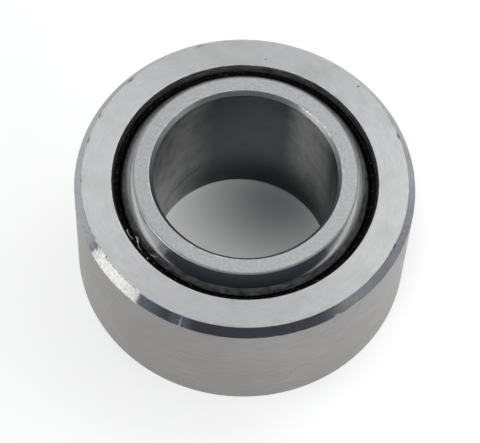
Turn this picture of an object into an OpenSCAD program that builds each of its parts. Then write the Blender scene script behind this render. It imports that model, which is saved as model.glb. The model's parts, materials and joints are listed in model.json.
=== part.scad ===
// Lined spherical plain bearing: a bored ball swivels in a solid race, on a woven liner.
// Millimetres. The origin is the centre of the ball, and +Z runs along the bore.
// Each section is turned about Z. The sizes run outwards: ball, liner, then race.

/* [Ball] */
// Diameter of the bore that takes the bolt
bore_d = 22.225; // [14:0.005:26]
// Width of the ball across its two ground faces
ball_w = 22.225; // [16:0.005:27]
// Width of the flat ring that is left on each ground face
face_land = 1.708; // [0.8:0.001:4]
// Radial width of the edge break where a ground face meets the sphere
rim_break = 0.15; // [0.05:0.01:0.6]
// Radial leg of the chamfer at each mouth of the bore
bore_chamfer_radial = 0.5; // [0.1:0.05:1.5]
// Axial leg of the chamfer at each mouth of the bore
bore_chamfer_axial = 0.6; // [0.1:0.05:2]

/* [Liner] */
// Thickness of the woven liner bonded into the race
liner_t = 0.5; // [0.2:0.05:1]
// Radial running clearance between the ball and the liner
ball_clearance = 0.03; // [0.01:0.01:0.1]

/* [Race] */
// Thinnest wall of the race, midway between its faces: it sets the outside diameter
race_wall = 2.645; // [1:0.005:8]
// Width of the race across its two faces
race_w = 19.177; // [10:0.001:24]
// Radial leg of the chamfer on each outer corner
race_chamfer_radial = 0.9; // [0.2:0.05:2]
// Axial leg of the chamfer on each outer corner
race_chamfer_axial = 1.16; // [0.2:0.01:3]
// Depth of the conical relief between a race face and the edge of the liner
relief_depth = 1; // [0.3:0.05:3]
// Slope of the relief's wall, in degrees from the bore's axis
relief_angle = 17.5; // [0:0.5:40]

/* [Hidden] */
$fn = 144;

race_colour = "silver";
liner_colour = [0.16, 0.14, 0.12];
ball_colour = "lightsteelblue";

// The sphere runs out at the corner between the ground face and the edge break
bore_r = bore_d / 2;
face_z = ball_w / 2;
chamfer_r = bore_r + bore_chamfer_radial;
face_r = chamfer_r + face_land;
corner_r = face_r + rim_break;
ball_r = norm([corner_r, face_z]);
// The edge break halves the angle between the ground face and the sphere
rim_slope = atan2(corner_r, face_z) / 2;

// The liner fills the space between its own bore and the race's seat
liner_bore_r = ball_r + ball_clearance;
seat_r = liner_bore_r + liner_t;

// The outside that is pressed into a housing, and the relief that opens outwards from the edge of the seat
od_r = seat_r + race_wall;
race_z = race_w / 2;
seat_z = race_z - relief_depth;
relief_taper = tan(relief_angle);
seat_mouth_r = sqrt(seat_r * seat_r - seat_z * seat_z);
race_mouth_r = seat_mouth_r + relief_depth * relief_taper;

// Turns a section drawn as radius across and height up
module turned() {
    rotate_extrude() children();
}

// Mirrors the upper half of a section, listed from the inside out, into a closed outline
module both_ends(upper) {
    lower = [for (i = [len(upper) - 1 : -1 : 0]) [upper[i].x, -upper[i].y]];
    polygon(concat(upper, lower));
}

// The bore, its chamfers and the ground faces, with the edge breaks run out past the sphere
module ball_outline() {
    both_ends([
        [bore_r, face_z - bore_chamfer_axial],
        [chamfer_r, face_z],
        [face_r, face_z],
        [face_r + face_z, face_z - face_z * tan(rim_slope)]
    ]);
}

// The outside of the race and its reliefs, with the relief walls run on inwards past the seat
module race_outline() {
    runout = seat_z / 2;
    both_ends([
        [seat_mouth_r - runout * relief_taper, seat_z - runout],
        [race_mouth_r, race_z],
        [od_r - race_chamfer_radial, race_z],
        [od_r, race_z - race_chamfer_axial]
    ]);
}

module outer_race() {
    color(race_colour) turned() difference() {
        race_outline();
        circle(r = seat_r);
    }
}

module liner() {
    color(liner_colour) turned() difference() {
        intersection() {
            circle(r = seat_r);
            translate([0, -seat_z]) square([2 * seat_r, 2 * seat_z]);
        }
        circle(r = liner_bore_r);
    }
}

module ball() {
    color(ball_colour) turned() intersection() {
        circle(r = ball_r);
        ball_outline();
    }
}

outer_race();
liner();
ball();
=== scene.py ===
"""Looks of a lined spherical plain bearing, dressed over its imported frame.

The three turned pieces of the frame are replaced by finely turned meshes with broken edges, machining marks
and small damage: the race, the woven liner with its frayed edge, and the ball. Lengths are in millimetres
until a mesh is made, and the frame is in metres. Angles go round the bore's axis, from +X towards +Y.
"""

import json
import logging
import math
from abc import ABC, abstractmethod
from collections.abc import Callable, Iterable
from dataclasses import dataclass, field
from enum import Enum

import bpy
import numpy as np
from mathutils import Matrix, Vector


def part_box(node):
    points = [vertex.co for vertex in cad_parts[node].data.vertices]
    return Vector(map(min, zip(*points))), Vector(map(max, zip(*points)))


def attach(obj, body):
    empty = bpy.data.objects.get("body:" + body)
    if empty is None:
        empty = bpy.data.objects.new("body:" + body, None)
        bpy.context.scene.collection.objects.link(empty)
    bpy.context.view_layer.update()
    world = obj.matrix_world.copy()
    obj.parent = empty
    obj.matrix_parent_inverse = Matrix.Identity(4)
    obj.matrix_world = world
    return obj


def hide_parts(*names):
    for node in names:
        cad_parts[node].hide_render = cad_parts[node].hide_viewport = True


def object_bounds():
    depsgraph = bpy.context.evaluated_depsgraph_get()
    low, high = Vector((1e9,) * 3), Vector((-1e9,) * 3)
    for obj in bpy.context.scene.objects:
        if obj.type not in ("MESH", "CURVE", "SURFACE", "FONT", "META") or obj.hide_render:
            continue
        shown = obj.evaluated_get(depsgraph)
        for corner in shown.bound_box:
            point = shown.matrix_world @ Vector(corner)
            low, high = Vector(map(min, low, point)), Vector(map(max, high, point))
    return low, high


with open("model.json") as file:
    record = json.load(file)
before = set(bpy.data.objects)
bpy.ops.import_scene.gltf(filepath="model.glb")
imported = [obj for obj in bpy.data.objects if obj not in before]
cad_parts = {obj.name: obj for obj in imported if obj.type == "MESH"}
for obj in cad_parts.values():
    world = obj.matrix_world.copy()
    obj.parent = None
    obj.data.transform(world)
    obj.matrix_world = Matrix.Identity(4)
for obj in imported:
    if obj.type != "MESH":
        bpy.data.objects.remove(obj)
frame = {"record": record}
CAD_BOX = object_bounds()

log = logging.getLogger("bearing")

Tree = bpy.types.NodeTree
Node = bpy.types.Node
Socket = bpy.types.NodeSocket
Input = float | tuple[float, ...] | Node | Socket

MM = 0.001
PHOTO_WIDTH_PX = 480
RELIEF_ANGLE_DEG = 17.5

# A quarter turn of the anisotropy, so that light spreads across the marks
QUARTER_TURN = 0.25

# Pits, and rubbed edges with painted highlights, drawn as coarse as they need to show
PIT_SPACING_MM = 1.6
PIT_RADIUS_MM = 0.16
RUBBED_HIGHLIGHT_DASH_MM = 0.9
# Levels of noise where a rubbed edge's painted highlight starts and where it is widest
RUBBED_HIGHLIGHT_LEVELS = (0.5, 0.7)
# Further than any edge of the part
FAR_M = 1.0
# Lengths that differ by less count as the same
SAME_MM = 1e-6


class Piece(Enum):
    """Nodes of the frame that this script replaces."""

    RACE = "outer_race"
    LINER = "liner"
    BALL = "ball"


class Body(Enum):
    """Moving bodies of the frame."""

    RACE = "race"
    BALL = "ball"


class Slot(Enum):
    """Material slots of the record."""

    RACE = "race_steel"
    LINER = "liner_fabric"
    BALL = "ball_steel"


def node_reach(piece: Piece) -> tuple[float, float]:
    """Reads how far a node of the frame reaches from the middle.

    Args:
        piece: the node to measure.

    Returns:
        Its largest radius and its highest point, in millimetres.
    """
    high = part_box(piece.value)[1]
    return high[0] / MM, high[2] / MM


def mount_size(name: str) -> tuple[float, float]:
    """Reads a round mount of the record.

    Args:
        name: the mount's name.

    Returns:
        Its radius and its length, in millimetres.
    """
    mount = next(m for m in frame["record"]["mounts"] if m["name"] == name)
    return mount["dims"]["r_mm"], mount["dims"]["length_mm"]


def linear(colour: str) -> tuple[float, float, float, float]:
    """Turns an sRGB hex colour into linear light, by the sRGB standard's own curve.

    Args:
        colour: six hex digits after a hash sign.

    Returns:
        Linear red, green, blue and an alpha of one.
    """
    values = [int(colour[i : i + 2], 16) / 255 for i in (1, 3, 5)]
    red, green, blue = (v / 12.92 if v <= 0.04045 else ((v + 0.055) / 1.055) ** 2.4 for v in values)
    return red, green, blue, 1.0


def add(tree: Tree, kind: str, inputs: dict[str | int, Input] | None = None, **settings: str) -> Node:
    """Adds a node with its settings, and sets or links its inputs.

    Args:
        tree: the node tree that gets the node.
        kind: the node's type, without the ShaderNode prefix.
        inputs: a value, a socket or a node for each input name or number. A node stands for its first output
            in use.
        settings: attributes of the node.

    Returns:
        The new node.
    """
    node = tree.nodes.new("ShaderNode" + kind)
    for name, value in settings.items():
        setattr(node, name, value)
    for key, value in (inputs or {}).items():
        if isinstance(value, Node):
            value = next(socket for socket in value.outputs if socket.enabled)
        if isinstance(value, Socket):
            tree.links.new(value, node.inputs[key])
        else:
            node.inputs[key].default_value = value
    return node


def painted(tree: Tree, base: str, layers: list[tuple[Node, str]]) -> Input:
    """Lays colours over a base.

    Args:
        tree: the node tree that gets the nodes.
        base: the lowest colour.
        layers: each further colour, after the mask that shows it.

    Returns:
        The colour that is seen.
    """
    colour: Input = linear(base)
    for mask, layer in layers:
        colour = add(tree, "Mix", {"Factor": mask, "A": colour, "B": linear(layer)}, data_type="RGBA")
    return colour


def new_material(name: str) -> bpy.types.Material:
    """Makes a material with an empty node tree.

    Args:
        name: the material's name.

    Returns:
        The material.
    """
    material = bpy.data.materials.new(name)
    material.use_nodes = True
    material.node_tree.nodes.clear()
    return material


def new_object(
    name: str, points: list, faces: list, materials: Iterable[bpy.types.Material],
) -> bpy.types.Object:
    """Makes a smooth mesh object.

    Args:
        name: the object's name.
        points: its corners, in metres.
        faces: the corner numbers of each face.
        materials: its materials, in the order of their numbers.

    Returns:
        The object, linked to the scene.
    """
    mesh = bpy.data.meshes.new(name)
    mesh.from_pydata(points, [], faces)
    for material in materials:
        mesh.materials.append(material)
    mesh.polygons.foreach_set("use_smooth", np.ones(len(faces), dtype=bool))
    mesh.update()
    made = bpy.data.objects.new(name, mesh)
    bpy.context.scene.collection.objects.link(made)
    return made


def outward(tree: Tree, place: Socket) -> tuple[Node, Node]:
    """Measures how far a place is from the bore's axis.

    Args:
        tree: the node tree that gets the nodes.
        place: the place.

    Returns:
        The way from the axis to the place, and its length.
    """
    way = add(tree, "VectorMath", {0: place, 1: (1, 1, 0)}, operation="MULTIPLY")
    return way, add(tree, "VectorMath", {0: way}, operation="LENGTH")


def turning_vector(tree: Tree, around: float, across: float) -> Node:
    """Makes texture coordinates that follow a turned surface round the bore's axis without a seam.

    Args:
        tree: the node tree that gets the nodes.
        around: how many pattern units one turn's radius is worth, low for long marks.
        across: pattern units for each millimetre across the marks.

    Returns:
        A node that gives the coordinates.
    """
    place = add(tree, "TexCoord").outputs["Object"]
    way, radius = outward(tree, place)
    heading = add(tree, "VectorMath", {0: way}, operation="NORMALIZE")
    wound = add(tree, "VectorMath", {0: heading, "Scale": around}, operation="SCALE")
    height = add(tree, "SeparateXYZ", {0: place}).outputs["Z"]
    reach = add(tree, "Math", {0: radius, 1: height}, operation="SUBTRACT")
    scaled = add(tree, "Math", {0: reach, 1: across / MM}, operation="MULTIPLY")
    lift = add(tree, "CombineXYZ", {"Z": scaled})
    return add(tree, "VectorMath", {0: wound, 1: lift}, operation="ADD")


def specks(tree: Tree, share: float) -> Node:
    """Scatters small round pits over a surface.

    Args:
        tree: the node tree that gets the nodes.
        share: share of the possible places that have a pit.

    Returns:
        A node that is one in a pit and zero elsewhere.
    """
    place = add(tree, "TexCoord").outputs["Object"]
    cells = add(tree, "TexVoronoi", {"Vector": place, "Scale": 1 / (PIT_SPACING_MM * MM)}).outputs
    chance = add(tree, "SeparateColor", {0: cells["Color"]}).outputs
    limit = add(tree, "Math", {0: chance["Green"], 1: PIT_RADIUS_MM / PIT_SPACING_MM}, operation="MULTIPLY")
    inside = add(tree, "Math", {0: cells["Distance"], 1: limit}, operation="LESS_THAN")
    chosen = add(tree, "Math", {0: chance["Red"], 1: share}, operation="LESS_THAN")
    return add(tree, "Math", {0: inside, 1: chosen}, operation="MULTIPLY")


def rubbed_highlights(tree: Tree, edges_mm: tuple[float, ...], width_mm: float) -> Node:
    """Draws broken bright lines where the round edges of a face were rubbed, painted lighter as highlights.

    Args:
        tree: the node tree that gets the nodes.
        edges_mm: radius of each edge.
        width_mm: half the width of a line where it is widest.

    Returns:
        A node that is one in a rubbed edge's painted highlight and zero elsewhere.
    """
    place = add(tree, "TexCoord").outputs["Object"]
    _, radius = outward(tree, place)
    dashes = add(tree, "TexNoise", {"Vector": place, "Scale": 1 / (RUBBED_HIGHLIGHT_DASH_MM * MM), "Detail": 3.0})
    low, high = RUBBED_HIGHLIGHT_LEVELS
    width = add(
        tree, "MapRange", {"Value": dashes, "From Min": low, "From Max": high, "To Max": width_mm * MM},
    )
    nearest: Input = FAR_M
    for edge in edges_mm:
        away = add(tree, "Math", {0: radius, 1: edge * MM}, operation="SUBTRACT")
        apart = add(tree, "Math", {0: away}, operation="ABSOLUTE")
        nearest = add(tree, "Math", {0: apart, 1: nearest}, operation="MINIMUM")
    return add(tree, "Math", {0: nearest, 1: width}, operation="LESS_THAN")


@dataclass(frozen=True)
class Touch:
    """A stretch of the upper end, filed, scuffed or stained after it was machined, or with a painted
    reflection.

    Attributes:
        first_deg: angle where it starts.
        last_deg: angle where it ends.
        light: its lightest colour.
        dark: its darkest colour.
        roughness: its roughness.
        ragged_deg: how far its outline wanders.
        peen_mm: depth of its dimples.
        reach_mm: where it starts and ends across the surface, as radius less height.
        ragged_mm: how far those two ends wander.
        fade_deg: how far it fades at its first angle and at its last.
        soft_share: share of its wandering that the outline is blurred by.
    """

    first_deg: float
    last_deg: float
    light: str
    dark: str
    roughness: float
    ragged_deg: float
    peen_mm: float = 0.0
    reach_mm: tuple[float, float] = (0.0, 20.0)
    ragged_mm: float = 0.0
    fade_deg: tuple[float, float] = (0.0, 0.0)
    soft_share: float = 0.3

    def mask(self, tree: Tree, teeth: Node) -> Node:
        """Draws the stretch with a ragged outline.

        Args:
            tree: the node tree that gets the nodes.
            teeth: noise that the outline wanders with.

        Returns:
            A node that is one in the stretch and falls to zero at its outline.
        """
        place = add(tree, "TexCoord").outputs["Object"]
        axes = add(tree, "SeparateXYZ", {0: place}).outputs
        turn = add(tree, "Math", {0: axes["Y"], 1: axes["X"]}, operation="ARCTAN2")
        # The noise stays within about a quarter of a half, so half of each sway is taken off again
        sway = 2 * math.radians(self.ragged_deg)
        swing = 4 * self.ragged_mm * MM
        wobble = add(tree, "Math", {0: teeth, 1: sway, 2: turn}, operation="MULTIPLY_ADD")
        middle = math.radians((self.first_deg + self.last_deg) / 2) + sway / 2
        away = add(tree, "Math", {0: wobble, 1: middle}, operation="SUBTRACT")
        aside = add(tree, "Math", {0: away, 1: math.pi, 2: -math.pi}, operation="WRAP")
        reach = math.radians((self.last_deg - self.first_deg) / 2)
        within: Input = 1.0
        for end, fade_deg in zip((-reach, reach), self.fade_deg):
            fade = math.copysign(self.soft_share * sway + math.radians(fade_deg), end)
            inside = add(
                tree, "MapRange", {"Value": aside, "From Min": end + fade, "From Max": end - fade},
                interpolation_type="SMOOTHSTEP",
            )
            within = add(tree, "Math", {0: inside, 1: within}, operation="MULTIPLY")
        _, radius = outward(tree, place)
        across = add(tree, "Math", {0: radius, 1: axes["Z"]}, operation="SUBTRACT")
        swung = add(tree, "Math", {0: teeth, 1: swing, 2: across}, operation="MULTIPLY_ADD")
        centre = (self.reach_mm[0] + self.reach_mm[1]) / 2 * MM + swing / 2
        half = (self.reach_mm[1] - self.reach_mm[0]) / 2 * MM
        upper = add(tree, "Math", {0: swung, 1: centre, 2: half}, operation="COMPARE")
        return add(tree, "Math", {0: within, 1: upper}, operation="MULTIPLY")


@dataclass(frozen=True, kw_only=True)
class Finish(ABC):
    """What every finish has.

    Attributes:
        name: the material's name.
        roughness: roughness of the surface.
    """

    name: str
    roughness: float

    @abstractmethod
    def surface(self, tree: Tree) -> dict[str, Input]:
        """Adds the finish's own nodes.

        Args:
            tree: the node tree that gets the nodes.

        Returns:
            The inputs of the shader.
        """

    def material(self) -> bpy.types.Material:
        """Builds the node material.

        Returns:
            The material.
        """
        material = new_material(self.name)
        tree = material.node_tree
        shader = add(tree, "BsdfPrincipled", self.surface(tree))
        add(tree, "OutputMaterial", {"Surface": shader})
        return material


@dataclass(frozen=True, kw_only=True)
class CutSteel(Finish):
    """Steel whose roughness follows the marks of the tool or the smudges and oil on it.

    Attributes:
        rough_levels: levels of noise where the surface is roughest and where it is smoothest.
        rough_times: how many times its roughness it has at those levels.
    """

    rough_levels: tuple[float, float] = (0.3, 0.7)
    rough_times: tuple[float, float] = (1.15, 0.85)

    def uneven(self, tree: Tree, noise: Node) -> Node:
        """Varies the roughness.

        Args:
            tree: the node tree that gets the nodes.
            noise: the noise that it follows.

        Returns:
            A node that gives the roughness.
        """
        low, high = self.rough_levels
        rough, smooth = (self.roughness * times for times in self.rough_times)
        return add(
            tree, "MapRange",
            {"Value": noise, "From Min": low, "From Max": high, "To Min": rough, "To Max": smooth},
        )


@dataclass(frozen=True, kw_only=True)
class MachinedSteel(CutSteel):
    """Bearing steel cut on a lathe or ground, with marks that run round the bore's axis.

    Attributes:
        light: colour of clean metal.
        dark: colour where it is smudged.
        anisotropy: how much further light spreads across the marks than along them.
        mark_mm: width of a mark.
        marks_round: pattern units in one radius' turn, low for long marks.
        groove_mm: depth of the marks.
        pit: colour of the small pits.
        grain_mm: size of the chatter grain.
        grain_depth_mm: depth of the chatter grain.
        smudge_mm: size of the smudges.
        smudge_share: share of the smudges in the colour, against the marks.
        pit_share: share of the possible places that have a pit.
        stain: colour of the handling stains.
        stain_mm: size of a stain.
        stain_share: how much of the metal a stain hides.
        rubbed_highlight: colour of the rubbed edges, painted lighter as highlights.
        rubbed_highlight_r_mm: radius of each rubbed edge with a painted highlight.
        rubbed_highlight_mm: half the width of a rubbed edge's painted highlight.
        touches: stretches that were filed, scuffed or stained, and stretches with a painted reflection.
        tone_levels: levels of noise where the metal is darkest and where it is clean.
        stain_levels: levels of noise where a stain starts and where it is full.
        mottle_levels: levels of noise where a touch is darkest and where it is lightest.
    """

    light: str
    dark: str
    anisotropy: float
    mark_mm: float
    marks_round: float
    groove_mm: float
    pit: str = "#55565a"
    grain_mm: float = 0.3
    grain_depth_mm: float = 0.0004
    smudge_mm: float = 5.0
    smudge_share: float = 0.5
    pit_share: float = 0.12
    stain: str = "#acaba8"
    stain_mm: float = 5.0
    stain_share: float = 0.0
    rubbed_highlight: str = "#e0e0e0"
    rubbed_highlight_r_mm: tuple[float, ...] = ()
    rubbed_highlight_mm: float = 0.06
    touches: tuple[Touch, ...] = ()
    tone_levels: tuple[float, float] = (0.36, 0.62)
    stain_levels: tuple[float, float] = (0.48, 0.68)
    mottle_levels: tuple[float, float] = (0.35, 0.6)

    def metal(self, tree: Tree, place: Socket, mixed: Node) -> Input:
        """Colours the metal with its smudges, pits, stains, and the painted highlights of its rubbed edges.

        Args:
            tree: the node tree that gets the nodes.
            place: the place on the surface.
            mixed: noise of the marks and the smudges.

        Returns:
            The colour.
        """
        low, high = self.tone_levels
        lighter = add(tree, "MapRange", {"Value": mixed, "From Min": low, "From Max": high})
        layers = [(lighter, self.light), (specks(tree, self.pit_share), self.pit)]
        if self.stain_share:
            cloud = add(
                tree, "TexNoise",
                {"Vector": place, "Scale": 1 / (self.stain_mm * MM), "Detail": 5.0, "Roughness": 0.5},
            )
            low, high = self.stain_levels
            stained = add(
                tree, "MapRange",
                {"Value": cloud, "From Min": low, "From Max": high, "To Max": self.stain_share},
            )
            layers.append((stained, self.stain))
        # Painted highlights along the rubbed edges
        if self.rubbed_highlight_r_mm:
            layers.append((rubbed_highlights(tree, self.rubbed_highlight_r_mm, self.rubbed_highlight_mm), self.rubbed_highlight))
        return painted(tree, self.dark, layers)

    def surface(self, tree: Tree) -> dict[str, Input]:
        """Adds the marks, the grain and the touches.

        Args:
            tree: the node tree that gets the nodes.

        Returns:
            The inputs of the shader.
        """
        around = turning_vector(tree, self.marks_round, 1 / self.mark_mm)
        marks = add(tree, "TexNoise", {"Vector": around, "Scale": 1.0, "Detail": 3.0})
        place = add(tree, "TexCoord").outputs["Object"]
        smudge = add(
            tree, "TexNoise",
            {"Vector": place, "Scale": 1 / (self.smudge_mm * MM), "Detail": 6.0, "Roughness": 0.6},
        )
        grain = add(tree, "TexNoise", {"Vector": place, "Scale": 1 / (self.grain_mm * MM), "Detail": 2.0})
        mixed = add(tree, "Mix", {"Factor": self.smudge_share, "A": marks, "B": smudge}, data_type="FLOAT")
        colour = self.metal(tree, place, mixed)
        rough = self.uneven(tree, mixed)
        grooves = add(tree, "Bump", {"Height": marks, "Strength": 1.0, "Distance": self.groove_mm * MM})
        relief = add(
            tree, "Bump",
            {"Height": grain, "Strength": 1.0, "Distance": self.grain_depth_mm * MM, "Normal": grooves},
        )
        low, high = self.mottle_levels
        for touch in self.touches:
            mask = touch.mask(tree, grain)
            mottle = add(tree, "MapRange", {"Value": grain, "From Min": low, "From Max": high})
            paint = painted(tree, touch.dark, [(mottle, touch.light)])
            colour = add(tree, "Mix", {"Factor": mask, "A": colour, "B": paint}, data_type="RGBA")
            rough = add(tree, "Mix", {"Factor": mask, "A": rough, "B": touch.roughness}, data_type="FLOAT")
            if touch.peen_mm:
                dimples = add(tree, "Math", {0: mask, 1: grain}, operation="MULTIPLY")
                relief = add(
                    tree, "Bump",
                    {"Height": dimples, "Strength": 1.0, "Distance": touch.peen_mm * MM, "Normal": relief},
                )
        return {
            "Base Color": colour,
            "Metallic": 1.0,
            "Roughness": rough,
            "Anisotropic": self.anisotropy,
            "Anisotropic Rotation": QUARTER_TURN,
            "Tangent": add(tree, "Tangent", direction_type="RADIAL", axis="Z"),
            "Normal": relief,
        }


@dataclass(frozen=True, kw_only=True)
class LappedSteel(CutSteel):
    """Hardened steel lapped flat, with a fine mottle and short scratches that cross on the slant.

    Attributes:
        light: colour of clean metal.
        dark: colour in the scratches.
        scratch_mm: width of a scratch, drawn coarser than a real one so that it shows.
        scratch_long_mm: length of a scratch.
        groove_mm: depth of a scratch.
        pit: colour of the small pits.
        pit_share: share of the possible places that have a pit.
        rubbed_highlight: colour of the rubbed edges, painted lighter as highlights.
        rubbed_highlight_r_mm: radius of each rubbed edge with a painted highlight.
        rubbed_highlight_mm: half the width of a rubbed edge's painted highlight.
        mottle_mm: size of the mottle.
        mottle_share: share of the mottle, against the scratches.
        slants_deg: directions of the scratches.
        tone_levels: levels of noise where the metal is darkest and where it is clean.
    """

    light: str
    dark: str
    scratch_mm: float
    scratch_long_mm: float
    groove_mm: float
    pit: str = "#5a5b5e"
    pit_share: float = 0.25
    rubbed_highlight: str = "#f2f2f2"
    rubbed_highlight_r_mm: tuple[float, ...] = (11.67,)
    rubbed_highlight_mm: float = 0.06
    mottle_mm: float = 0.3
    mottle_share: float = 0.5
    slants_deg: tuple[float, float] = (38.0, -52.0)
    tone_levels: tuple[float, float] = (0.32, 0.56)
    rough_levels: tuple[float, float] = (0.3, 0.6)
    rough_times: tuple[float, float] = (1.25, 0.9)

    def surface(self, tree: Tree) -> dict[str, Input]:
        """Adds the scratches, the mottle, the pits and the rubbed edge's painted highlight.

        Args:
            tree: the node tree that gets the nodes.

        Returns:
            The inputs of the shader.
        """
        place = add(tree, "TexCoord").outputs["Object"]
        along, across = 1 / (self.scratch_long_mm * MM), 1 / (self.scratch_mm * MM)
        scratches: Input = 1.0
        for slant in self.slants_deg:
            turned = add(tree, "VectorRotate", {"Vector": place, "Angle": math.radians(slant)})
            stretched = add(
                tree, "VectorMath", {0: turned, 1: (along, across, across)}, operation="MULTIPLY",
            )
            lines = add(tree, "TexNoise", {"Vector": stretched, "Scale": 1.0, "Detail": 2.0})
            scratches = add(tree, "Math", {0: lines, 1: scratches}, operation="MINIMUM")
        mottle = add(tree, "TexNoise", {"Vector": place, "Scale": 1 / (self.mottle_mm * MM), "Detail": 4.0})
        mixed = add(
            tree, "Mix", {"Factor": self.mottle_share, "A": scratches, "B": mottle}, data_type="FLOAT",
        )
        low, high = self.tone_levels
        lighter = add(tree, "MapRange", {"Value": mixed, "From Min": low, "From Max": high})
        layers = [
            (lighter, self.light),
            (specks(tree, self.pit_share), self.pit),
            # Painted highlight along the rubbed edge at the bore
            (rubbed_highlights(tree, self.rubbed_highlight_r_mm, self.rubbed_highlight_mm), self.rubbed_highlight),
        ]
        return {
            "Base Color": painted(tree, self.dark, layers),
            "Metallic": 1.0,
            "Roughness": self.uneven(tree, mixed),
            "Normal": add(tree, "Bump", {"Height": mixed, "Strength": 1.0, "Distance": self.groove_mm * MM}),
        }


@dataclass(frozen=True, kw_only=True)
class HonedBore(CutSteel):
    """The ball's honed bore, dulled by oil, with painted light on two sides, painted shade low down and a
    long scratch.

    Attributes:
        lighter: colour of the two sides, painted lighter as a painted reflection.
        dull: colour of the oily rear and front, towards the lower end.
        oiled: colour of the oily rear and front at the upper end.
        low_shade: colour of the painted shade at the lower end.
        groove: colour of the scratch.
        blotch_mm: size of the oil blotches.
        oil_z_mm: height where the oil starts and where it is thickest.
        low_shade_z_mm: height where the painted shade is darkest and where it ends.
        shade_fade_x_mm: where, towards the left, the painted shade is weakest and where it starts to fade.
        shade_fade_share: how much of the painted shade fades there.
        lit_sides_deg: middle angle and half the reach of each side that is painted lighter.
        lit_sides_level: level of noise where a side is fully painted lighter.
        scratch: start and end angle in degrees, and start and end height in millimetres.
        scratch_mm: half the scratch's width.
        hone_round: pattern units of the honing marks in one radius' turn.
        hone_per_mm: honing marks in a millimetre, fewer than real ones so that they show.
        hone_deep_mm: depth of the honing marks.
    """

    lighter: str
    dull: str
    oiled: str
    low_shade: str
    groove: str
    blotch_mm: float = 2.2
    oil_z_mm: tuple[float, float] = (-5.0, 9.5)
    low_shade_z_mm: tuple[float, float] = (-9.5, -0.5)
    shade_fade_x_mm: tuple[float, float] = (-9.5, -4.0)
    shade_fade_share: float = 0.65
    lit_sides_deg: tuple[tuple[float, float], ...] = ((42.0, 25.0), (157.0, 48.0))
    lit_sides_level: float = 0.56
    scratch: tuple[float, float, float, float] = (122.0, 158.0, -5.0, -7.2)
    scratch_mm: float = 0.09
    hone_round: float = 7.0
    hone_per_mm: float = 3.0
    hone_deep_mm: float = 0.0012
    rough_times: tuple[float, float] = (1.2, 0.85)

    def scratch_line(self, tree: Tree, angle: Node, height: Socket) -> Node:
        """Draws the long scratch that a shaft left.

        Args:
            tree: the node tree that gets the nodes.
            angle: angle round the axis, in radians.
            height: height, in metres.

        Returns:
            A node that is one in the scratch and zero elsewhere.
        """
        first_deg, last_deg, first_z, last_z = self.scratch
        first, last = math.radians(first_deg), math.radians(last_deg)
        path = add(
            tree, "MapRange",
            {"Value": angle, "From Min": first, "From Max": last,
             "To Min": first_z * MM, "To Max": last_z * MM},
        )
        near = add(tree, "Math", {0: height, 1: path, 2: self.scratch_mm * MM}, operation="COMPARE")
        middle, reach = (first + last) / 2, (last - first) / 2
        within = add(tree, "Math", {0: angle, 1: middle, 2: reach}, operation="COMPARE")
        return add(tree, "Math", {0: near, 1: within}, operation="MULTIPLY")

    def painted_lit_sides(self, tree: Tree, angle: Node) -> Node:
        """Marks the stretches that are painted lighter than the rest, as a painted reflection.

        Args:
            tree: the node tree that gets the nodes.
            angle: angle round the axis, in radians.

        Returns:
            A node that is one in the middle of a stretch and falls to zero at its ends.
        """
        side: Input = 0.0
        for middle, reach in self.lit_sides_deg:
            away = add(tree, "Math", {0: angle, 1: math.radians(middle)}, operation="SUBTRACT")
            facing = add(tree, "Math", {0: away}, operation="COSINE")
            near = add(
                tree, "MapRange", {"Value": facing, "From Min": math.cos(math.radians(reach))},
                interpolation_type="SMOOTHSTEP",
            )
            side = add(tree, "Math", {0: near, 1: side}, operation="MAXIMUM")
        return side

    def surface(self, tree: Tree) -> dict[str, Input]:
        """Adds the oil, the painted shade low down, the sides painted lighter, the scratch and the honing
        marks.

        Args:
            tree: the node tree that gets the nodes.

        Returns:
            The inputs of the shader.
        """
        place = add(tree, "TexCoord").outputs["Object"]
        axes = add(tree, "SeparateXYZ", {0: place}).outputs
        angle = add(tree, "Math", {0: axes["Y"], 1: axes["X"]}, operation="ARCTAN2")
        blotch = add(
            tree, "TexNoise",
            {"Vector": place, "Scale": 1 / (self.blotch_mm * MM), "Detail": 5.0, "Roughness": 0.6},
        )
        # Painted reflection: two sides painted lighter, in blotches
        wiped = add(tree, "Math", {0: blotch, 1: self.painted_lit_sides(tree, angle)}, operation="MULTIPLY")
        lit_sides_share = add(tree, "MapRange", {"Value": wiped, "From Max": self.lit_sides_level})
        starts, thickest = (height * MM for height in self.oil_z_mm)
        risen = add(tree, "MapRange", {"Value": axes["Z"], "From Min": starts, "From Max": thickest})
        # Painted shade: darker towards the lower end, less so on the left
        thickest, ends = (height * MM for height in self.low_shade_z_mm)
        low = add(
            tree, "MapRange", {"Value": axes["Z"], "From Min": ends, "From Max": thickest},
            interpolation_type="SMOOTHSTEP",
        )
        bare, starts = (across * MM for across in self.shade_fade_x_mm)
        kept = add(
            tree, "MapRange",
            {"Value": axes["X"], "From Min": bare, "From Max": starts, "To Min": 1 - self.shade_fade_share},
            interpolation_type="SMOOTHSTEP",
        )
        low_shade_share = add(tree, "Math", {0: low, 1: kept}, operation="MULTIPLY")
        layers = [
            (risen, self.oiled),
            (lit_sides_share, self.lighter),
            (low_shade_share, self.low_shade),
            (self.scratch_line(tree, angle, axes["Z"]), self.groove),
        ]
        around = turning_vector(tree, self.hone_round, self.hone_per_mm)
        hone = add(tree, "TexNoise", {"Vector": around, "Scale": 1.0, "Detail": 2.0})
        bump = add(tree, "Bump", {"Height": hone, "Strength": 1.0, "Distance": self.hone_deep_mm * MM})
        return {
            "Base Color": painted(tree, self.dull, layers),
            "Metallic": 1.0,
            "Roughness": self.uneven(tree, blotch),
            "Normal": bump,
        }


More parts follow.
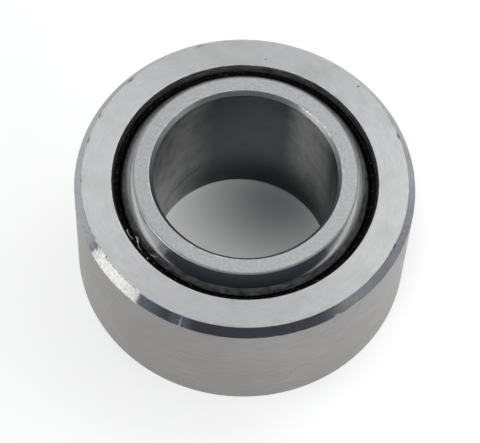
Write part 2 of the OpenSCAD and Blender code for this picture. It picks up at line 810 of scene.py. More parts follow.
@dataclass(frozen=True, kw_only=True)
class PolishedSteel(Finish):
    """The ball's polished sphere, with a thin dusty film on its rear and sides, wiped off in front.

    Attributes:
        steel: colour of the polished metal.
        film: colour where the film lies.
        film_z_mm: height where the film starts and where it is thickest, at both ends.
        film_y_mm: how far back the film starts and where it is thickest.
        film_metallic: how much of the metal's own reflection shows through the film.
        film_rough_times: how many times rougher the film is than the polish.
        streaks_round: pattern units of the wiping streaks in one radius' turn.
        streaks_per_mm: wiping streaks in a millimetre.
        streak_levels: levels of noise where the film is wiped off and where it is whole.
    """

    steel: str
    film: str
    film_z_mm: tuple[float, float] = (8.9, 10.7)
    film_y_mm: tuple[float, float] = (-13.0, -5.0)
    film_metallic: float = 0.45
    film_rough_times: float = 2.0
    streaks_round: float = 2.5
    streaks_per_mm: float = 2.5
    streak_levels: tuple[float, float] = (0.3, 0.6)

    def surface(self, tree: Tree) -> dict[str, Input]:
        """Adds the film.

        Args:
            tree: the node tree that gets the nodes.

        Returns:
            The inputs of the shader.
        """
        axes = add(tree, "SeparateXYZ", {0: add(tree, "TexCoord").outputs["Object"]}).outputs
        level = add(tree, "Math", {0: axes["Z"]}, operation="ABSOLUTE")
        around = turning_vector(tree, self.streaks_round, self.streaks_per_mm)
        streaks = add(tree, "TexNoise", {"Vector": around, "Scale": 1.0, "Detail": 4.0})
        low, high = self.streak_levels
        share = add(tree, "MapRange", {"Value": streaks, "From Min": low, "From Max": high})
        for where, (starts, thickest) in ((level, self.film_z_mm), (axes["Y"], self.film_y_mm)):
            covered = add(
                tree, "MapRange", {"Value": where, "From Min": starts * MM, "From Max": thickest * MM},
                interpolation_type="SMOOTHSTEP",
            )
            share = add(tree, "Math", {0: covered, 1: share}, operation="MULTIPLY")
        bare = add(tree, "MapRange", {"Value": share, "To Min": 1.0, "To Max": self.film_metallic})
        film_rough = self.roughness * self.film_rough_times
        rough = add(tree, "MapRange", {"Value": share, "To Min": self.roughness, "To Max": film_rough})
        return {
            "Base Color": painted(tree, self.steel, [(share, self.film)]),
            "Metallic": bare,
            "Roughness": rough,
        }


@dataclass(frozen=True, kw_only=True)
class WovenLiner(Finish):
    """Resin-bonded woven fabric, nearly black with brown yarn showing where it is cut.

    Attributes:
        resin: colour of the resin.
        yarn: colour of the bare yarn.
        yarn_mm: thickness of a yarn.
        gloss: specular level, low where the fibres are fluffed up.
        fuzz_per_yarn: bare patches in a yarn's thickness.
        bulge_share: how far a yarn stands out, as a share of its thickness.
        bare_levels: levels of noise where the yarn starts to show and where it is bare.
    """

    resin: str
    yarn: str
    yarn_mm: float
    gloss: float = 0.5
    fuzz_per_yarn: float = 0.6
    bulge_share: float = 0.1
    bare_levels: tuple[float, float] = (0.52, 0.75)

    def surface(self, tree: Tree) -> dict[str, Input]:
        """Adds the yarns and the bare patches.

        Args:
            tree: the node tree that gets the nodes.

        Returns:
            The inputs of the shader.
        """
        place = add(tree, "TexCoord").outputs["Object"]
        yarn = self.yarn_mm * MM
        cells = add(tree, "TexVoronoi", {"Vector": place, "Scale": 1 / yarn})
        fuzz = add(tree, "TexNoise", {"Vector": place, "Scale": self.fuzz_per_yarn / yarn, "Detail": 4.0})
        low, high = self.bare_levels
        bare = add(tree, "MapRange", {"Value": fuzz, "From Min": low, "From Max": high})
        bump = add(tree, "Bump", {"Height": cells, "Strength": 1.0, "Distance": self.bulge_share * yarn})
        return {
            "Base Color": painted(tree, self.resin, [(bare, self.yarn)]),
            "Roughness": self.roughness,
            "Specular IOR Level": self.gloss,
            "Normal": bump,
        }


# Real lathe and grinding marks are about 0.05 mm apart. They are too fine to show here, so they are drawn
# 0.1 to 0.2 mm wide, and pits and scratches are drawn as coarse as they need to show.

# Bearing steel filed by hand: rough and dimpled, so it stays white where the steel beside it mirrors the
# room.
FILED_STRETCH = Touch(
    212.0, 234.4, "#f6f5f2", "#dfddd8", 0.46, 1.6, peen_mm=0.004, reach_mm=(10.1, 12.34), ragged_mm=0.3,
)
# Bearing steel turned on a lathe: bright and even, with fine rings that spread the light across them, faint
# handling stains, and rubbed edges with painted highlights.
TURNED_FACE = MachinedSteel(
    name="turned_steel_face", light="#d0d0d0", dark="#c3c4c4", roughness=0.38, anisotropy=0.64,
    mark_mm=0.12, marks_round=14.0, groove_mm=0.0005,
    pit_share=0.3, stain_share=0.55, rubbed_highlight_r_mm=(16.22, 19.68), touches=(FILED_STRETCH,),
)
# The same steel turned with a fine feed: smoother, so it mirrors the room in broad light and dark stretches,
# with blue-grey scuffs beside the filed one, and stretches painted lighter or darker as painted reflections.
TURNED_CHAMFER = MachinedSteel(
    name="turned_steel_chamfer", light="#8b8e92", dark="#797c82", roughness=0.23, anisotropy=0.6,
    mark_mm=0.15, marks_round=16.0, groove_mm=0.0008,
    grain_mm=0.35, grain_depth_mm=0.001, smudge_mm=2.0,
    touches=(
        # Painted reflection: the chamfer's left painted lighter
        Touch(154.0, 208.3, "#a1a3a5", "#95979a", 0.24, 1.4, fade_deg=(8.0, 0.0)),
        Touch(233.4, 243.0, "#8b929c", "#737b86", 0.3, 6.0),
        # Painted reflection: a small dark spot, painted where a dent shows in the chamfer
        Touch(209.2, 210.6, "#8d96a2", "#69727d", 0.3, 1.8),
        FILED_STRETCH,
        Touch(211.4, 213.4, "#e6e6e6", "#c4c7ca", 0.42, 1.6),
        # A rougher scuff with a painted reflection: painted lighter and bluer than the steel beside it
        Touch(247.2, 254.4, "#9c9eae", "#8a8c9b", 0.29, 1.2, fade_deg=(1.2, 1.2)),
        Touch(250.7, 251.4, "#c0c3c8", "#9a9da2", 0.5, 0.3),
        # Painted reflection: a stretch on the right painted lighter
        Touch(304.0, 319.0, "#abaeb2", "#9fa2a6", 0.3, 1.0, fade_deg=(6.0, 6.0)),
        # Painted shade: the chamfer's right painted darker
        Touch(331.0, 358.0, "#7c7f83", "#6e7177", 0.23, 1.0, fade_deg=(8.0, 8.0)),
    ),
)
# The same steel, ground to fit its housing: a satin grey that shows the floor as a soft glow, with a few
# pits.
GROUND_OUTSIDE = MachinedSteel(
    name="ground_steel_outside", light="#999796", dark="#8e8c8b", roughness=0.38, anisotropy=0.6,
    mark_mm=0.14, marks_round=9.0, groove_mm=0.0006,
    smudge_mm=7.0, smudge_share=0.28, pit_share=0.4, touches=(FILED_STRETCH,),
)
# The same steel, rough turned and left as it was: dull, painted dark as the shade in its recess, with pale
# lint in the rings.
RELIEF_WALL = MachinedSteel(
    name="turned_steel_relief", light="#a2a2a3", dark="#515152", roughness=0.42, anisotropy=0.4,
    mark_mm=0.16, marks_round=12.0, groove_mm=0.006,
    pit="#d2cabf", pit_share=0.4, smudge_mm=1.2, smudge_share=0.4,
)
# Hardened ball steel, polished: a dark mirror of the room, dulled by a dusty film except in front.
POLISHED_SPHERE = PolishedSteel(
    name="polished_steel_sphere", steel="#a0a1a3", film="#bbbbb7", roughness=0.09,
)
# Hardened ball steel, lapped flat: a soft, even grey with a fine mottle, and a painted highlight on the
# rubbed edge at the bore.
LAPPED_FACE = LappedSteel(
    name="lapped_steel_face", light="#bcbcbd", dark="#a8a8a9", roughness=0.36,
    scratch_mm=0.1, scratch_long_mm=0.6, groove_mm=0.0006,
)
# Hardened ball steel, honed and oiled: dark and soft, with painted light on two sides, painted shade low down
# and one long scratch.
HONED_INSIDE = HonedBore(
    name="honed_steel_bore", lighter="#c8c8c6", dull="#8c9092", oiled="#595c5f", low_shade="#4c4f51",
    groove="#2c2e30", roughness=0.42,
)
# Hardened ball steel, turned smooth: a narrow ring that flashes where it faces the window.
TURNED_LEAD_IN = MachinedSteel(
    name="turned_steel_lead_in", light="#cecfcf", dark="#bebfbf", roughness=0.33, anisotropy=0.3,
    mark_mm=0.1, marks_round=8.0, groove_mm=0.0006,
)
# Woven fabric bonded with resin and cut at its edge: dark and matt, painted near black as the shade in the
# gap.
LINER_CLOTH = WovenLiner(
    name="woven_liner_cloth", resin="#050505", yarn="#1c1510", yarn_mm=0.3, roughness=0.85, gloss=0.15,
)
# Yarn cut short with the fabric: dark with pale ends that show as specks in the gap.
STUB_YARN = WovenLiner(
    name="cut_liner_yarn", resin="#171412", yarn="#b3a491", yarn_mm=0.25, roughness=0.75, gloss=0.25,
)
# Yarn frayed out of the cut edge: a brown fuzz.
FRAYED_YARN = WovenLiner(
    name="frayed_liner_yarn", resin="#4a3d37", yarn="#a08f84", yarn_mm=0.2, roughness=0.75, gloss=0.3,
)
# Yarn pulled loose and rubbed clean of resin: a few pale threads.
LOOSE_YARN = WovenLiner(
    name="loose_liner_yarn", resin="#e8e2d6", yarn="#fbf8f2", yarn_mm=0.25, roughness=0.6,
)


@dataclass(frozen=True)
class Run:
    """One run of a turned section, from corner to corner.

    Attributes:
        points: radius and height of each point, in millimetres.
        finish: the finish on this run.
        edge_mm: radius of the broken edge where the run ends.
    """

    points: np.ndarray
    finish: Finish
    edge_mm: float


def straight(start: tuple[float, float], end: tuple[float, float], step_mm: float) -> np.ndarray:
    """Divides a straight run of a section.

    Args:
        start: radius and height where it starts.
        end: radius and height where it ends.
        step_mm: longest step along it.

    Returns:
        The points, both ends included.
    """
    count = max(2, math.ceil(math.dist(start, end) / step_mm) + 1)
    return np.linspace(start, end, count)


def round_run(radius: float, start_z: float, end_z: float, step_mm: float) -> np.ndarray:
    """Divides a run of a section that is part of a sphere about the origin.

    Args:
        radius: the sphere's radius.
        start_z: height where the run starts.
        end_z: height where the run ends.
        step_mm: longest step along it.

    Returns:
        The points, both ends included.
    """
    first, last = math.asin(start_z / radius), math.asin(end_z / radius)
    count = max(2, math.ceil(abs(last - first) * radius / step_mm) + 1)
    angles = np.linspace(first, last, count)
    return radius * np.stack([np.cos(angles), np.sin(angles)], axis=1)


def cut_back(points: np.ndarray, length: float) -> np.ndarray:
    """Shortens a run at its end.

    Args:
        points: the run's points.
        length: how much to take off, measured from the last point.

    Returns:
        The points that are left, ending in a new one.
    """
    gaps = np.linalg.norm(np.diff(points, axis=0), axis=1)
    reach = gaps.sum() - np.concatenate([[0.0], np.cumsum(gaps)])
    kept = points[reach > length + SAME_MM]
    following = points[len(kept)]
    share = (reach[len(kept) - 1] - length) / (reach[len(kept) - 1] - reach[len(kept)])
    return np.vstack([kept, kept[-1] + share * (following - kept[-1])])


@dataclass(frozen=True)
class Nick:
    """A small dent in a turned piece, where something knocked it.

    Attributes:
        azimuth_deg: where it is round the axis.
        radius_mm: its distance from the axis.
        height_mm: its height.
        long_mm: half its length round the axis.
        wide_mm: half its width across.
        depth_mm: how deep it is.
    """

    azimuth_deg: float
    radius_mm: float
    height_mm: float
    long_mm: float
    wide_mm: float
    depth_mm: float


def dent(points: np.ndarray, nicks: tuple[Nick, ...]) -> np.ndarray:
    """Works out how far nicks push a turned surface in.

    Args:
        points: radius, angle and height of each point.
        nicks: the dents.

    Returns:
        The offset of each point along its normal, in millimetres.
    """
    offset = np.zeros(points.shape[:2])
    for nick in nicks:
        turn = points[..., 1] - math.radians(nick.azimuth_deg)
        round_mm = ((turn + math.pi) % (2 * math.pi) - math.pi) * nick.radius_mm
        across_mm = np.hypot(points[..., 0] - nick.radius_mm, points[..., 2] - nick.height_mm)
        offset -= nick.depth_mm * np.exp(-((round_mm / nick.long_mm) ** 2) - (across_mm / nick.wide_mm) ** 2)
    return offset


@dataclass(frozen=True)
class EdgeWear:
    """Small nicks strewn along a round edge.

    Attributes:
        count: how many there are.
        size_mm: half the length of the longest.
        stray_mm: how far they stray across the edge.
        long_share: shortest and longest, as shares of the size.
        wide_mm: half the width of the narrowest and the widest.
        deep_share: shallowest and deepest, as shares of the size.
    """

    count: int
    size_mm: float
    stray_mm: float = 0.03
    long_share: tuple[float, float] = (0.4, 1.0)
    wide_mm: tuple[float, float] = (0.05, 0.09)
    deep_share: tuple[float, float] = (0.05, 0.16)

    def strew(self, dice: np.random.Generator, radius: float, height: float) -> tuple[Nick, ...]:
        """Strews the nicks.

        Args:
            dice: the seeded source of chance.
            radius: the edge's radius.
            height: the edge's height.

        Returns:
            The nicks.
        """
        return tuple(
            Nick(
                dice.uniform(0, 360), radius + dice.normal(0, self.stray_mm), height,
                self.size_mm * dice.uniform(*self.long_share), dice.uniform(*self.wide_mm),
                self.size_mm * dice.uniform(*self.deep_share),
            )
            for _ in range(self.count)
        )


@dataclass
class TurnedPiece:
    """A closed section turned about the bore's axis.

    Attributes:
        name: the piece's name.
        runs: the section's runs in order, closed from the last to the first.
        finishes: the finishes of the runs, in the order of the piece's materials.
        segments: steps round the axis.
        close_deg: start and end of a stretch with closer steps.
        close_times: how many times closer they are.
        edge_steps: steps across a broken edge.
    """

    name: str
    runs: list[Run]
    finishes: tuple[Finish, ...]
    segments: int
    close_deg: tuple[float, float] = (0.0, 0.0)
    close_times: int = 3
    edge_steps: int = 4

    def angles(self) -> np.ndarray:
        """Spreads the steps round the axis, closer together along the close stretch.

        Returns:
            The angles, in radians.
        """
        step = 2 * math.pi / self.segments
        even = np.arange(self.segments) * step
        first, last = (round(math.radians(angle) / step) for angle in self.close_deg)
        close = np.arange(first * self.close_times, last * self.close_times) * step / self.close_times
        return np.concatenate([even[:first], close, even[last:]])

    def section(self) -> tuple[np.ndarray, list[int]]:
        """Joins the runs and breaks their corners.

        Returns:
            The section's points, and the material number of the strip that starts at each.
        """
        trimmed = []
        for index, run in enumerate(self.runs):
            before = self.runs[index - 1].edge_mm
            points = cut_back(run.points, run.edge_mm) if run.edge_mm else run.points
            if before:
                points = cut_back(points[::-1], before)[::-1]
            trimmed.append(points)
        points, numbers = [], []
        for index, run in enumerate(self.runs):
            own, following = trimmed[index], trimmed[(index + 1) % len(self.runs)]
            corner = run.points[-1]
            if run.edge_mm:
                share = np.linspace(0, 1, self.edge_steps + 1)[1:-1, None]
                bend = (1 - share) ** 2 * own[-1] + 2 * share * (1 - share) * corner + share**2 * following[0]
                stretch = np.vstack([own, bend])
            else:
                stretch = own[:-1]
            points.append(stretch)
            numbers += [self.finishes.index(run.finish)] * len(stretch)
        return np.vstack(points), numbers

    def build(self, shape: Callable[[np.ndarray], np.ndarray]) -> bpy.types.Object:
        """Turns the section into a mesh object.

        Args:
            shape: moves points, given as radius, angle and height, along the section's normals.

        Returns:
            The object, in metres.
        """
        section, numbers = self.section()
        angle = self.angles()
        rings, turns = len(section), len(angle)
        along = np.roll(section, -1, axis=0) - np.roll(section, 1, axis=0)
        normal = np.stack([-along[:, 1], along[:, 0]], axis=1)
        normal /= np.linalg.norm(normal, axis=1, keepdims=True)
        radius, theta = np.meshgrid(section[:, 0], angle, indexing="ij")
        height = np.repeat(section[:, 1:], turns, axis=1)
        offset = shape(np.stack([radius, theta, height], axis=-1))
        radius = radius + offset * normal[:, :1]
        height = height + offset * normal[:, 1:]
        points = np.stack([radius * np.cos(theta), radius * np.sin(theta), height], axis=-1) * MM
        ring = np.arange(rings)[:, None] * turns
        following = np.roll(ring, -1, axis=0)
        here = np.arange(turns)[None, :]
        beside = np.roll(here, -1, axis=1)
        faces = np.stack([ring + here, following + here, following + beside, ring + beside], axis=-1)
        materials = (finish.material() for finish in self.finishes)
        corners, quads = points.reshape(-1, 3).tolist(), faces.reshape(-1, 4).tolist()
        piece = new_object(self.name, corners, quads, materials)
        piece.data.polygons.foreach_set("material_index", np.repeat(numbers, turns).astype(np.int32))
        piece.data.update()
        return piece


@dataclass
class OuterRace:
    """The solid steel ring: turned faces, ground outside, chamfers, conical reliefs and a spherical seat.

    Attributes:
        od_r: radius of the ground outside.
        face_z: height of the upper face.
        seat_r: radius of the spherical seat.
        seat_z: height where the seat ends.
        land_z: height where the ground outside ends.
        chamfer_radial: radial leg of the outer chamfers.
        relief_angle_deg: slope of the relief's wall, from the bore's axis.
        edge_mm: radius of a broken edge.
        rim_mm: width of the closely divided rim of a face.
        seat_step_mm: longest step along the seat.
        segments: steps round the axis.
        close_deg: the stretch with closer steps, where the damage is finest.
        face_wear: small nicks where a face meets its chamfer.
        land_wear: small nicks where a chamfer meets the outside.
        seed: start of the chance that strews the small nicks.
        nicks: the nicks that show.
    """

    od_r: float = field(default_factory=lambda: node_reach(Piece.RACE)[0])
    face_z: float = field(default_factory=lambda: node_reach(Piece.RACE)[1])
    seat_r: float = field(default_factory=lambda: node_reach(Piece.LINER)[0])
    seat_z: float = field(default_factory=lambda: node_reach(Piece.LINER)[1])
    land_z: float = field(default_factory=lambda: mount_size("housing_diameter")[1] / 2)
    chamfer_radial: float = 0.9
    relief_angle_deg: float = RELIEF_ANGLE_DEG
    edge_mm: float = 0.05
    rim_mm: float = 0.5
    seat_step_mm: float = 1.5
    segments: int = 560
    close_deg: tuple[float, float] = (201.0, 236.0)
    face_wear: EdgeWear = EdgeWear(40, 0.25)
    land_wear: EdgeWear = EdgeWear(24, 0.2)
    seed: int = 14
    nicks: tuple[Nick, ...] = (
        Nick(203.4, 19.72, 9.58, 0.12, 0.08, 0.08),
        Nick(206.4, 19.7, 9.58, 0.14, 0.09, 0.14),
        Nick(207.4, 19.66, 9.58, 0.1, 0.09, 0.16),
        Nick(210.2, 19.7, 9.58, 0.12, 0.08, 0.14),
        Nick(211.6, 19.66, 9.58, 0.1, 0.08, 0.14),
        Nick(216.6, 19.7, 9.58, 0.1, 0.16, 0.18),
        Nick(217.2, 19.64, 9.58, 0.18, 0.07, 0.16),
        Nick(220.5, 19.7, 9.58, 0.3, 0.05, 0.12),
        Nick(224.6, 19.7, 9.58, 0.24, 0.05, 0.12),
        Nick(227.4, 19.68, 9.58, 0.12, 0.09, 0.16),
        Nick(229.8, 19.7, 9.58, 0.2, 0.05, 0.12),
        Nick(231.5, 19.68, 9.58, 0.1, 0.07, 0.13),
        Nick(305.0, 20.62, 8.46, 0.22, 0.12, 0.08),
        Nick(336.8, 19.75, 9.57, 0.22, 0.12, 0.1),
        Nick(157.0, 19.74, 9.58, 0.35, 0.14, 0.1),
        Nick(168.0, 19.74, 9.58, 0.3, 0.14, 0.1),
        Nick(138.8, 19.74, 9.58, 0.45, 0.16, 0.12),
        Nick(110.0, 19.74, 9.58, 0.45, 0.16, 0.1),
        Nick(21.8, 19.74, 9.58, 0.4, 0.16, 0.1),
    )

    def runs(self) -> list[Run]:
        """Lists the section's runs, from the upper mouth outwards and round.

        Returns:
            The runs.
        """
        seat_mouth_r = math.sqrt(self.seat_r**2 - self.seat_z**2)
        mouth_r = seat_mouth_r + (self.face_z - self.seat_z) * math.tan(math.radians(self.relief_angle_deg))
        chamfer_r = self.od_r - self.chamfer_radial
        upper = [
            (seat_mouth_r, self.seat_z),
            (mouth_r, self.face_z),
            (chamfer_r - self.rim_mm, self.face_z),
            (chamfer_r, self.face_z),
            (self.od_r, self.land_z),
        ]
        corners = upper + [(radius, -height) for radius, height in reversed(upper)]
        edge = self.edge_mm
        # Finish, longest step and broken edge of each run, with closer steps at the upper end
        plan = (
            (RELIEF_WALL, 0.25, edge),
            (TURNED_FACE, 0.35, 0.0),
            (TURNED_FACE, 0.07, edge),
            (TURNED_CHAMFER, 0.1, edge),
            (GROUND_OUTSIDE, 0.9, edge),
            (TURNED_CHAMFER, 0.2, edge),
            (TURNED_FACE, 0.14, 0.0),
            (TURNED_FACE, 0.4, edge),
            (RELIEF_WALL, 0.35, edge),
        )
        runs = [
            Run(straight(start, end, step), finish, broken)
            for start, end, (finish, step, broken) in zip(corners, corners[1:], plan)
        ]
        seat = round_run(self.seat_r, -self.seat_z, self.seat_z, self.seat_step_mm)
        return [*runs, Run(seat, RELIEF_WALL, edge)]

    def damage(self) -> tuple[Nick, ...]:
        """Lists the nicks that show and small ones along every outer edge.

        Returns:
            The nicks.
        """
        dice = np.random.default_rng(self.seed)
        nicks = self.nicks
        for end in (1, -1):
            nicks += self.face_wear.strew(dice, self.od_r - self.chamfer_radial, end * self.face_z)
            nicks += self.land_wear.strew(dice, self.od_r, end * self.land_z)
        return nicks

    def build(self) -> list[bpy.types.Object]:
        """Turns the race and dresses it.

        Returns:
            The race, as the one piece of its list.
        """
        damage = self.damage()
        finishes = (TURNED_FACE, TURNED_CHAMFER, GROUND_OUTSIDE, RELIEF_WALL)
        turned = TurnedPiece("race_ring", self.runs(), finishes, self.segments, self.close_deg)
        piece = turned.build(lambda points: dent(points, damage))
        self.dress(piece)
        return [piece]

    def dress(self, piece: bpy.types.Object) -> None:
        """Hangs the race on its body and hides the node that it replaces.

        Args:
            piece: the turned race.
        """
        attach(piece, Body.RACE.value)
        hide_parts(Piece.RACE.value)


@dataclass
class Yarn:
    """Loose strands gathered into one mesh.

    Attributes:
        name: the mesh's name.
        sides: sides of a strand.
        end_share: thickness of a strand's ends, as a share of its middle.
        aside: a direction that no strand follows.
        points: corners so far, in metres.
        faces: faces so far.
    """

    name: str
    sides: int
    end_share: float = 0.45
    aside: tuple[float, float, float] = (0.31, -0.47, 0.83)
    points: list[list[float]] = field(default_factory=list)
    faces: list[list[int]] = field(default_factory=list)

    def strand(self, path: np.ndarray, radius_mm: float) -> None:
        """Adds one closed strand.

        Args:
            path: the points that it follows, in millimetres.
            radius_mm: its radius at the middle; the ends are thinner.
        """
        base, joints = len(self.points), len(path)
        ahead = np.gradient(path, axis=0)
        ahead /= np.linalg.norm(ahead, axis=1, keepdims=True)
        across = np.cross(ahead, self.aside)
        across /= np.linalg.norm(across, axis=1, keepdims=True)
        upward = np.cross(ahead, across)
        middle = np.sin(math.pi * (np.arange(joints) + 0.5) / joints)
        radius = radius_mm * (self.end_share + (1 - self.end_share) * middle)
        side = np.arange(self.sides)
        turn = (2 * math.pi * side / self.sides)[None, :, None]
        ring = np.cos(turn) * across[:, None] + np.sin(turn) * upward[:, None]
        spots = path[:, None] + radius[:, None, None] * ring
        self.points += (spots * MM).reshape(-1, 3).tolist()
        low = base + self.sides * np.arange(joints - 1)[:, None]
        high, beside = low + self.sides, np.roll(side, -1)
        quads = np.stack([low + side, low + beside, high + beside, high + side], axis=-1)
        last = base + (joints - 1) * self.sides
        self.faces += [*quads.reshape(-1, 4).tolist(), (base + side[::-1]).tolist(), (last + side).tolist()]

    def build(self, finish: Finish) -> bpy.types.Object:
        """Turns the strands into one object with the given finish."""
        return new_object(self.name, self.points, self.faces, [finish.material()])


@dataclass(frozen=True)
class CutEnds:
    """Short ends of yarn, cut off all round both edges of the liner.

    Attributes:
        count: how many there are.
        joints: points along one.
        lean_deg: how far they lean round the axis.
        root_mm: how deep they start below the edge.
        rise_mm: how far the shortest and the longest rise.
        start_share: where they may start across the gap.
        lean_share: how far they lean across the gap.
        limits: how near the ball and the relief they may come.
        radius_mm: radius of the thinnest and the thickest.
        seed: start of the chance that places them.
    """

    count: int = 900
    joints: int = 4
    lean_deg: float = 0.7
    root_mm: float = 0.06
    rise_mm: tuple[float, float] = (0.05, 0.3)
    start_share: tuple[float, float] = (0.2, 0.95)
    lean_share: float = 0.2
    limits: tuple[float, float] = (0.05, 1.0)
    radius_mm: tuple[float, float] = (0.025, 0.055)
    seed: int = 14


@dataclass(frozen=True)
class Tangle:
    """A tangle of frayed yarn on one stretch of the liner's upper edge.

    Attributes:
        count: how many strands there are.
        joints: points along one.
        stretch_deg: where the stretch starts and ends.
        long_deg: length of the shortest and the longest round the axis.
        bow_share: how far they bow across the gap.
        start_share: where they may start across the gap.
        lean_share: how far they lean across the gap.
        rise_mm: how far above the edge the lowest and the highest start.
        lean_mm: how far they lean up or down.
        below_mm: how far below the race's face they stay.
        radius_mm: radius of the thinnest and the thickest.
        seed: start of the chance that places them.
    """

    count: int = 26
    joints: int = 10
    stretch_deg: tuple[float, float] = (208.0, 226.0)
    long_deg: tuple[float, float] = (0.5, 2.2)
    bow_share: float = 0.08
    start_share: tuple[float, float] = (0.4, 0.95)
    lean_share: float = 0.22
    rise_mm: tuple[float, float] = (0.1, 0.6)
    lean_mm: float = 0.15
    below_mm: float = 0.15
    radius_mm: tuple[float, float] = (0.02, 0.04)
    seed: int = 15


@dataclass(frozen=True)
class LooseThread:
    """One pale thread that has come out of the liner.

    Attributes:
        ends_deg: angle of each end.
        ends_share: place of each end across the gap, zero at the ball and one at the relief.
        ends_z_mm: height of each end.
        bow: how far its middle bends across the gap, as a share of the gap.
        radius_mm: its radius.
    """

    ends_deg: tuple[float, float]
    ends_share: tuple[float, float]
    ends_z_mm: tuple[float, float]
    bow: float
    radius_mm: float


@dataclass
class Liner:
    """The woven liner bonded into the race's seat, with cut and loose yarn at its edges.

    Attributes:
        seat_r: radius of the race's seat.
        edge_z: height of the upper edge.
        ball_r: radius of the ball.
        race_z: height of the race's upper face.
        thick_mm: thickness of the liner.
        yarn_mm: spacing of the yarns along the edge.
        relief_angle_deg: slope of the relief's wall, from the bore's axis.
        relief_gap_mm: how far yarn stays off the relief.
        ball_gap_mm: how far yarn stays off the ball.
        sink_mm: how far the edge sinks between the yarns.
        swells: how many times the sinking swells round the edge.
        swell_phase: where the swelling starts, in radians.
        edge_reach_mm: how near the edge's height a point counts as on it.
        edge_step_mm: longest step across an edge.
        sphere_step_mm: longest step along the spheres.
        segments: steps round the axis.
        thread_joints: points along a loose thread.
        strand_sides: sides of the cut and frayed yarn.
        thread_sides: sides of a loose thread.
        ends: the cut ends.
        fray: the tangle.
        loose: the loose threads.
    """

    seat_r: float = field(default_factory=lambda: node_reach(Piece.LINER)[0])
    edge_z: float = field(default_factory=lambda: node_reach(Piece.LINER)[1])
    ball_r: float = field(default_factory=lambda: node_reach(Piece.BALL)[0])
    race_z: float = field(default_factory=lambda: node_reach(Piece.RACE)[1])
    thick_mm: float = 0.5
    yarn_mm: float = 0.35
    relief_angle_deg: float = RELIEF_ANGLE_DEG
    relief_gap_mm: float = 0.06
    ball_gap_mm: float = 0.07
    sink_mm: float = 0.12
    swells: int = 31
    swell_phase: float = 1.3
    edge_reach_mm: float = 0.01
    edge_step_mm: float = 0.08
    sphere_step_mm: float = 0.8
    segments: int = 720
    thread_joints: int = 16
    strand_sides: int = 4
    thread_sides: int = 5
    ends: CutEnds = CutEnds()
    fray: Tangle = Tangle()
    loose: tuple[LooseThread, ...] = (
        LooseThread((208.8, 214.6), (0.8, 0.72), (9.3, 9.35), 0.06, 0.03),
        LooseThread((209.0, 211.2), (0.62, 0.86), (9.2, 9.4), 0.05, 0.035),
        LooseThread((213.8, 217.7), (0.24, 0.5), (9.2, 9.3), -0.05, 0.06),
        LooseThread((214.8, 217.2), (0.1, 0.52), (9.3, 9.25), 0.08, 0.045),
        LooseThread((217.4, 220.8), (0.5, 0.62), (9.2, 9.1), 0.1, 0.03),
        LooseThread((225.3, 226.2), (0.7, 0.9), (9.2, 9.3), 0.0, 0.045),
        LooseThread((225.2, 228.7), (0.25, 0.02), (9.25, 9.42), 0.04, 0.035),
    )

    def runs(self) -> list[Run]:
        """Lists the section's runs, from the upper inner edge outwards and round.

        Returns:
            The runs.
        """
        outer = round_run(self.seat_r, self.edge_z, -self.edge_z, self.sphere_step_mm)
        inner = round_run(self.seat_r - self.thick_mm, -self.edge_z, self.edge_z, self.sphere_step_mm)
        top = straight(tuple(inner[-1]), tuple(outer[0]), self.edge_step_mm)
        bottom = straight(tuple(outer[-1]), tuple(inner[0]), self.edge_step_mm)
        return [Run(points, LINER_CLOTH, 0.0) for points in (top, outer, bottom, inner)]

    def ragged(self, points: np.ndarray) -> np.ndarray:
        """Sinks the cut edge unevenly between the yarn ends.

        Args:
            points: radius, angle and height of each point.

        Returns:
            The offset of each point along its normal, in millimetres.
        """
        yarns = round(2 * math.pi * self.seat_r / self.yarn_mm)
        at_edge = np.abs(points[..., 2]) > self.edge_z - self.edge_reach_mm
        turn = points[..., 1]
        wave = 0.5 + 0.5 * np.sin(turn * yarns) * np.sin(turn * self.swells + self.swell_phase)
        return np.where(at_edge, -self.sink_mm * wave, 0.0)

    def in_gap(self, angle: np.ndarray, share: np.ndarray, height: np.ndarray) -> np.ndarray:
        """Places points in the gap between the ball and the relief.

        Args:
            angle: angle of each point, in degrees.
            share: zero at the ball and one at the relief.
            height: height of each point.

        Returns:
            The points, in millimetres.
        """
        slope = math.tan(math.radians(self.relief_angle_deg))
        mouth_r = math.sqrt(self.seat_r**2 - self.edge_z**2)
        outer = mouth_r + (height - self.edge_z) * slope - self.relief_gap_mm
        inner = np.sqrt((self.ball_r + self.ball_gap_mm) ** 2 - height**2)
        radius = inner + share * (outer - inner)
        turn = np.radians(angle)
        return np.stack([radius * np.cos(turn), radius * np.sin(turn), height], axis=1)

    def stubs(self) -> bpy.types.Object:
        """Makes the short cut ends all round both edges.

        Returns:
            The ends, as one object.
        """
        ends = self.ends
        dice = np.random.default_rng(ends.seed)
        yarn = Yarn("liner_stubs", self.strand_sides)
        steps = np.linspace(0, 1, ends.joints)
        for index in range(ends.count):
            end = 1 if index % 2 == 0 else -1
            angle = dice.uniform(0, 360) + steps * dice.normal(0, ends.lean_deg)
            height = self.edge_z - ends.root_mm + steps * dice.uniform(*ends.rise_mm)
            share = dice.uniform(*ends.start_share) + steps * dice.normal(0, ends.lean_share)
            path = self.in_gap(angle, np.clip(share, *ends.limits), height) * (1, 1, end)
            yarn.strand(path, dice.uniform(*ends.radius_mm))
        return yarn.build(STUB_YARN)

